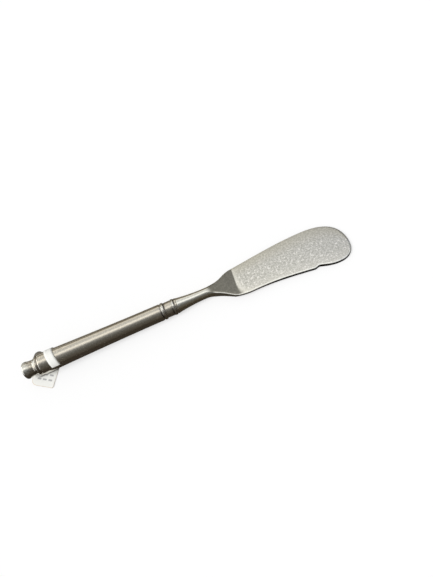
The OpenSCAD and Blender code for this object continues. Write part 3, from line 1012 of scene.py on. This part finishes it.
# The darkest and lightest of its grain
CEMENT_DARK, CEMENT_LIGHT = 0.7, 1.2


class KNIFE_OT_core(bpy.types.Operator):
    """Gives the hidden cement core its own material"""

    bl_idname = "knife.core"
    bl_label = "Cement core"

    def execute(self, context):
        cement = tuple(context.scene.knife_looks.cement)
        material, tree, shader = new_material("handle_cement")
        fibre = group_node(tree, paper_fibre, Scale=900.0)
        dark, light = scaled(cement, CEMENT_DARK), scaled(cement, CEMENT_LIGHT)
        tone = mixed(tree, fibre.outputs["Tooth"], dark, light)
        tree.links.new(tone, shader.inputs["Base Color"])
        shader.inputs["Roughness"].default_value = 0.9
        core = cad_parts["handle_filler"]
        core.data.materials.clear()
        core.data.materials.append(material)
        return {"FINISHED"}


# The paper tag

# Rows of points round the loop and points across its strip
LOOP_ROWS, STRIP_POINTS = 120, 5
# Points round a sheet, rings from its middle to its rim, and the shares of the way out where its rim starts
SHEET_POINTS, SHEET_RINGS = 96, 20
RIM_FROM, RIM_FULL = 0.955, 0.975
# On the tail the dark rim, painted shade, starts much further in, and the tail's round end has more points
TAIL_RIM_FROM = 0.4
TAIL_END_POINTS = 28
# The painted shadow of the handle's near side on the leaf: its level, where it comes up along the knife, and
# its half width
STREAK_LEVEL = 0.9
STREAK_FROM, STREAK_TO = 2.0 * MM, 5.0 * MM
STREAK_HALF = 0.35 * MM


def loop_shape(t):
    """Vertices, faces and end marks of the paper loop, with its near side leaning towards the blade.

    The strip starts at its loose end on the near side and goes over the handle and round under it."""
    steps = np.linspace(0.0, 1.0, STRIP_POINTS)
    section = [(u, 1.0) for u in steps] + [(u, 0.0) for u in steps[::-1]]
    size = len(section)
    verts, ends = [], []
    for j, a in enumerate(np.linspace(-t.loop_start, t.loop_end, LOOP_ROWS + 1)):
        for u, v in section:
            r = t.loop_r + t.paper * v
            x = t.loop_x + t.loop_width * u - t.loop_lean * math.sin(a)
            verts.append((x, r * math.sin(a), r * math.cos(a)))
            ends.append(1.0 if j in (0, LOOP_ROWS) else 0.0)
    caps = [tuple(range(size)), tuple(range(LOOP_ROWS * size, len(verts)))]
    faces = lofted(LOOP_ROWS + 1, size) + caps
    return (verts, faces), [("rim", "FLOAT", ends)]


def leaf_outline(t):
    """Outline of the leaf in its own sheet, from the loop's middle."""
    inner, outer = -t.leaf_side, t.leaf_width - t.leaf_side
    near, far = -t.leaf_reach, t.leaf_length - t.leaf_reach
    wide, tight = t.leaf_corner, t.leaf_tight_corner
    return (
        arc((far - wide, outer - wide), wide, 0, 90)
        + arc((near + wide, outer - wide), wide, 90, 180)
        + arc((near + tight, inner + tight), tight, 180, 270)
        + arc((far - tight, inner + tight), tight, 270, 360)
    )


def tail_outline(t):
    """Outline of the tail's loose end in its own sheet, from the loop's middle."""
    r = t.tail_width / 2
    end_x = t.tail_reach - t.tail_length
    round_end = arc((t.tail_reach - r, t.tail_side), r, -90, 90, TAIL_END_POINTS)
    return round_end + [(end_x, t.tail_side + r), (end_x, t.tail_side - r)]


def sheet_shape(outline, turn, top_z, t, rim_from):
    """Vertices, faces and marks of a thin paper sheet under the loop.

    The marks are the places on the sheet, its rim and a painted shadow streak along the handle's near side."""
    line = resampled(outline + outline[:1], SHEET_POINTS + 1)[:-1]
    middle = line.mean(axis=0)
    shares = (*np.linspace(0.0, RIM_FROM, SHEET_RINGS), RIM_FULL, 1.0)
    layers = [(k, 0.0) for k in shares] + [(k, t.paper) for k in shares[::-1]]
    loop_middle = t.loop_x + t.loop_width / 2
    cos_turn, sin_turn = math.cos(turn), math.sin(turn)
    verts, places, rims, streaks = [], [], [], []
    for k, down in layers:
        for u, v in middle + k * (line - middle):
            x = loop_middle + u * cos_turn - v * sin_turn
            y = u * sin_turn + v * cos_turn
            verts.append((x, y, top_z - down))
            places.append((u, v, -down))
            rims.append(soft_step(rim_from, RIM_FULL, k))
            beside = math.exp(-(((y + t.fold_y) / STREAK_HALF) ** 2))
            streaks.append(STREAK_LEVEL * soft_step(STREAK_FROM, STREAK_TO, x) * beside)
    marks = [("sheet", "FLOAT_VECTOR", places), ("rim", "FLOAT", rims), ("fold", "FLOAT", streaks)]
    return (verts, lofted(len(layers), len(line))), marks


class KNIFE_OT_tag(bpy.types.Operator):
    """Builds the paper tag: its loop, its leaf and its loose tail"""

    bl_idname = "knife.tag"
    bl_label = "Paper tag"

    def execute(self, context):
        t, looks = context.scene.tag_sizes, context.scene.knife_looks
        paper, rim, grubby = tuple(looks.paper), tuple(looks.rim), tuple(looks.grubby)
        band = tag_paper("loop_ivory_paper", paper, [("rim", rim)])
        shape, marks = loop_shape(t)
        new_piece("tag_band", shape, "tag_loop", "tag_loop", band, marks)
        # The leaf's dark streak is a painted shadow of the handle
        leaf = tag_paper("leaf_ivory_paper", paper, [("rim", rim), ("fold", grubby)], tuple(looks.mark))
        shape, marks = sheet_shape(leaf_outline(t), t.leaf_turn, t.leaf_top_z, t, RIM_FROM)
        new_piece("tag_leaf_sheet", shape, "tag_leaf", "tag_leaf", leaf, marks)
        # The tail's tan and its dark rim are painted shade on the paper
        tail = tag_paper("tail_worn_paper", tuple(looks.tail), [("rim", grubby)])
        shape, marks = sheet_shape(tail_outline(t), t.tail_turn, t.tail_top_z, t, TAIL_RIM_FROM)
        new_piece("tag_tail_end", shape, "tag_leaf", "tag_tail", tail, marks)
        return {"FINISHED"}


# The stage

# The tent that shows in the steel: angle from straight up towards the far side, and the colour there
TENT_STOPS = (
    (-104.0, (0.075, 0.062, 0.046)),
    (-80.0, (0.085, 0.074, 0.057)),
    (-65.0, (0.105, 0.096, 0.078)),
    (-50.0, (0.12, 0.113, 0.097)),
    (-37.0, (0.16, 0.155, 0.14)),
    (-24.0, (0.22, 0.215, 0.2)),
    (-12.0, (0.34, 0.335, 0.315)),
    (-6.0, (0.62, 0.6, 0.56)),
    (2.0, (1.02, 0.98, 0.9)),
    (10.0, (1.25, 1.2, 1.08)),
    (18.0, (1.15, 1.1, 0.98)),
    (24.0, (0.74, 0.73, 0.69)),
    (50.0, (0.72, 0.69, 0.62)),
    (62.0, (0.98, 0.92, 0.8)),
    (70.0, (0.6, 0.55, 0.45)),
    (80.0, (0.2, 0.175, 0.135)),
    (104.0, (0.15, 0.13, 0.1)),
)
# Places along the tent, and the share of each colour there, cooler and darker beyond the tip
TENT_ALONG = (
    (-0.55, (1.0, 1.0, 1.0)),
    (0.15, (1.0, 1.0, 1.0)),
    (0.26, (0.94, 0.95, 1.0)),
    (0.34, (0.73, 0.75, 0.82)),
    (0.42, (0.3, 0.3, 0.32)),
    (0.75, (0.25, 0.25, 0.25)),
)
TENT_RADIUS = 0.42
CARD_REACH = 0.4
CARD_LIFT = 0.02 * MM
NEAR_CARD = (0.05, 0.041, 0.03)
FAR_CARD = (0.2, 0.175, 0.135)
# Bright card low at the left and a bright floor behind the end cap, which make its glints
GLINT_LEVEL = (2.0, 1.96, 1.84)
GLINT_PLACE = (-0.45, 0.12, 0.16)
GLINT_HALF_WIDTH = 0.2
GLINT_HALF_HEIGHT = 0.16
REAR_CARD = (0.9, 0.88, 0.81)
REAR_CARD_X = -10.0 * MM
# Low dark card beyond the tip, which the tip's round edge mirrors
TIP_CARD = (0.11, 0.1, 0.085)
TIP_CARD_X = 0.32
TIP_CARD_HALF_WIDTH = 0.3
TIP_CARD_TOP = 0.085
# The floor touches the leaf's front end and the blade's tip, so it rises a little along the knife
FLOOR_X, FLOOR_Z = 13.8 * MM, -5.23 * MM
FLOOR_RISE = 0.0337
FLOOR_REACH = 3.0
SUN_TOWARDS = (0.6, 0.15, -0.78)
# The photograph's camera
CAMERA_FOOT_X = 75.62 * MM
CAMERA_REACH = 185.48 * MM
CAMERA_LEAN = math.radians(24.0)
CAMERA_TURN = math.radians(3.5)
CAMERA_ROLL = math.radians(23.4)
CAMERA_FOCAL_PIXELS = 434.0
SENSOR_WIDTH = 36.0
# The face and the corners of a flat card
QUAD = [(0, 1, 2, 3)]
CORNERS = ((-1, -1), (1, -1), (1, 1), (-1, 1))


def floor_z(x):
    """Height of the floor at a place along the knife."""
    return FLOOR_Z + FLOOR_RISE * (x - FLOOR_X)


def stage_mesh(name, verts, faces, material, levels=None):
    """A stage object, with a light level at each point where given."""
    mesh = bpy.data.meshes.new(name)
    mesh.from_pydata(verts, [], faces)
    if levels:
        layer = mesh.attributes.new("level", "FLOAT_COLOR", "POINT")
        layer.data.foreach_set("color", np.ravel([(*level, 1.0) for level in levels]))
    mesh.materials.append(material)
    made = bpy.data.objects.new(name, mesh)
    bpy.context.scene.collection.objects.link(made)
    return made


def shown_mask(tree):
    """Mask of what the camera, metal and glass see."""
    path = tree.nodes.new("ShaderNodeLightPath")
    shown = joined(tree, "MAXIMUM", path.outputs["Is Camera Ray"], path.outputs["Is Glossy Ray"])
    return joined(tree, "MAXIMUM", shown, path.outputs["Is Transmission Ray"])


def floor_material(looks):
    """Floor that is pale where the camera sees it and throws little light back up."""
    material, tree, shader = new_material("pale_floor")
    shown = shown_mask(tree)
    colour = mixed(tree, shown, tuple(looks.table), tuple(looks.floor))
    glow = mixed(tree, shown, (0.0, 0.0, 0.0), tuple(looks.glow))
    tree.links.new(colour, shader.inputs["Base Color"])
    tree.links.new(glow, shader.inputs["Emission Color"])
    shader.inputs["Emission Strength"].default_value = 1.0
    shader.inputs["Roughness"].default_value = 1.0
    shader.inputs["Specular IOR Level"].default_value = 0.0
    return material


def card_material():
    """Studio card that gives off the level marked on it."""
    material = bpy.data.materials.new("studio_card")
    material.use_nodes = True
    tree = material.node_tree
    tree.nodes.clear()
    out = tree.nodes.new("ShaderNodeOutputMaterial")
    glow = tree.nodes.new("ShaderNodeEmission")
    level = add_node(tree, "ShaderNodeAttribute", attribute_name="level")
    tree.links.new(level.outputs["Color"], glow.inputs["Color"])
    tree.links.new(glow.outputs["Emission"], out.inputs["Surface"])
    return material


def reflection_card(name, verts, faces, material, levels):
    """A studio card that only reflections see."""
    card = stage_mesh(name, verts, faces, material, levels)
    card.visible_camera = False
    card.visible_diffuse = False
    card.visible_transmission = False
    card.visible_volume_scatter = False
    card.visible_shadow = False


def flat_card(name, verts, material, level):
    """A flat studio card with one level all over."""
    reflection_card(name, verts, QUAD, material, [level] * len(verts))


def build_cards(material):
    """The tent, the cards on the floor, the dark card beyond the tip and the bright one at the left."""
    verts, levels = [], []
    for degrees, colour in TENT_STOPS:
        a = math.radians(degrees)
        for x, part in TENT_ALONG:
            verts.append((x, TENT_RADIUS * math.sin(a), TENT_RADIUS * math.cos(a)))
            levels.append([p * c for p, c in zip(part, colour)])
    wide = len(TENT_ALONG)
    faces = [
        (i * wide + j, i * wide + j + 1, (i + 1) * wide + j + 1, (i + 1) * wide + j)
        for i in range(len(TENT_STOPS) - 1)
        for j in range(wide - 1)
    ]
    reflection_card("tent", verts, faces, material, levels)
    low, high = TENT_ALONG[0][0], TENT_ALONG[-1][0]
    for name, end, reach, lift, level in (
        ("near_card", high, -CARD_REACH, CARD_LIFT, NEAR_CARD),
        ("far_card", high, CARD_REACH, CARD_LIFT, FAR_CARD),
        ("rear_card", REAR_CARD_X, CARD_REACH, 2 * CARD_LIFT, REAR_CARD),
    ):
        corners = ((low, 0.0), (end, 0.0), (end, reach), (low, reach))
        verts = [(x, y, floor_z(x) + lift) for x, y in corners]
        flat_card(name, verts, material, level)
    foot = floor_z(TIP_CARD_X)
    corners = ((-1, foot), (1, foot), (1, TIP_CARD_TOP), (-1, TIP_CARD_TOP))
    verts = [(TIP_CARD_X, side * TIP_CARD_HALF_WIDTH, z) for side, z in corners]
    flat_card("tip_card", verts, material, TIP_CARD)
    middle = Vector(GLINT_PLACE)
    up = Vector((0.0, 0.0, GLINT_HALF_HEIGHT))
    across = middle.cross(up).normalized() * GLINT_HALF_WIDTH
    verts = [tuple(middle + i * across + j * up) for i, j in CORNERS]
    flat_card("glint_card", verts, material, GLINT_LEVEL)


def build_world(looks):
    """Soft even light all round, white where the camera, metal or glass sees it."""
    world = bpy.data.worlds.new("studio")
    bpy.context.scene.world = world
    world.use_nodes = True
    tree = world.node_tree
    tree.nodes.clear()
    out = tree.nodes.new("ShaderNodeOutputWorld")
    white = (1.0, 1.0, 1.0, 1.0)
    seen = add_node(tree, "ShaderNodeBackground", Color=white, Strength=1.0)
    light = add_node(tree, "ShaderNodeBackground", Color=white, Strength=looks.dome)
    mix = tree.nodes.new("ShaderNodeMixShader")
    tree.links.new(shown_mask(tree), mix.inputs["Fac"])
    tree.links.new(light.outputs["Background"], mix.inputs[1])
    tree.links.new(seen.outputs["Background"], mix.inputs[2])
    tree.links.new(mix.outputs["Shader"], out.inputs["Surface"])


def build_sun(looks):
    """Soft light from behind the handle's end."""
    lamp = bpy.data.lights.new("side_light", "SUN")
    lamp.energy = looks.sun
    lamp.angle = looks.sun_width
    sun = bpy.data.objects.new("side_light", lamp)
    sun.rotation_mode = "QUATERNION"
    sun.rotation_quaternion = Vector(SUN_TOWARDS).to_track_quat("-Z", "Y")
    sun.visible_glossy = False
    bpy.context.scene.collection.objects.link(sun)


def build_camera():
    """The camera at the photograph's viewing angle."""
    back = Vector((0.0, -math.sin(CAMERA_LEAN), math.cos(CAMERA_LEAN)))
    along = Vector((1.0, 0.0, 0.0))
    up = back.cross(along)
    backward = back * math.cos(CAMERA_TURN) - along * math.sin(CAMERA_TURN)
    right = along * math.cos(CAMERA_TURN) + back * math.sin(CAMERA_TURN)
    turned_right = right * math.cos(CAMERA_ROLL) - up * math.sin(CAMERA_ROLL)
    turned_up = right * math.sin(CAMERA_ROLL) + up * math.cos(CAMERA_ROLL)
    lens = bpy.data.cameras.new("photo_camera")
    lens.sensor_fit = "AUTO"
    lens.sensor_width = SENSOR_WIDTH
    lens.lens = SENSOR_WIDTH * CAMERA_FOCAL_PIXELS / max(IMAGE_WIDTH, IMAGE_HEIGHT)
    lens.clip_start = 0.01
    lens.clip_end = 10.0
    camera = bpy.data.objects.new("photo_camera", lens)
    place = Vector((CAMERA_FOOT_X, 0.0, 0.0)) + back * CAMERA_REACH
    axes = Matrix((turned_right, turned_up, backward)).transposed().to_4x4()
    camera.matrix_world = Matrix.Translation(place) @ axes
    bpy.context.scene.collection.objects.link(camera)
    bpy.context.scene.camera = camera


class KNIFE_OT_stage(bpy.types.Operator):
    """Builds the floor, the cards, the soft light and the camera"""

    bl_idname = "knife.stage"
    bl_label = "Stage"

    def execute(self, context):
        looks = context.scene.stage_looks
        corners = [(i * FLOOR_REACH, j * FLOOR_REACH) for i, j in CORNERS]
        verts = [(x, y, floor_z(x)) for x, y in corners]
        stage_mesh("floor", verts, QUAD, floor_material(looks))
        build_cards(card_material())
        build_world(looks)
        build_sun(looks)
        build_camera()
        context.scene.view_settings.view_transform = "Standard"
        return {"FINISHED"}


OPERATORS = (KNIFE_OT_blade, KNIFE_OT_turned, KNIFE_OT_core, KNIFE_OT_tag, KNIFE_OT_stage)
GROUPS = (
    ("turned_sizes", "Cap, handle and collar", TurnedSizes),
    ("blade_sizes", "Blade", BladeSizes),
    ("tag_sizes", "Paper tag", TagSizes),
    ("knife_looks", "Colours", KnifeLooks),
    ("stage_looks", "Stage", StageLooks),
)


class KNIFE_PT_panel(bpy.types.Panel):
    """Lists the knife's sizes, colours and builders"""

    bl_label = "Canape knife"
    bl_idname = "KNIFE_PT_panel"
    bl_space_type = "VIEW_3D"
    bl_region_type = "UI"
    bl_category = "Knife"

    def draw(self, context):
        for key, title, group in GROUPS:
            box = self.layout.box()
            box.label(text=title)
            for name in group.__annotations__:
                box.prop(getattr(context.scene, key), name)
        for operator in OPERATORS:
            self.layout.operator(operator.bl_idname)


def register():
    """Registers the properties, the operators and the panel."""
    for key, _, group in GROUPS:
        bpy.utils.register_class(group)
        setattr(bpy.types.Scene, key, bpy.props.PointerProperty(type=group))
    for made in (*OPERATORS, KNIFE_PT_panel):
        bpy.utils.register_class(made)


def unregister():
    """Takes everything away again."""
    for made in (KNIFE_PT_panel, *reversed(OPERATORS)):
        bpy.utils.unregister_class(made)
    for key, _, group in reversed(GROUPS):
        delattr(bpy.types.Scene, key)
        bpy.utils.unregister_class(group)


def main():
    """Builds every piece and the stage."""
    register()
    for operator in OPERATORS:
        getattr(bpy.ops.knife, operator.bl_idname.split(".")[1])()


if __name__ == "__main__":
    main()
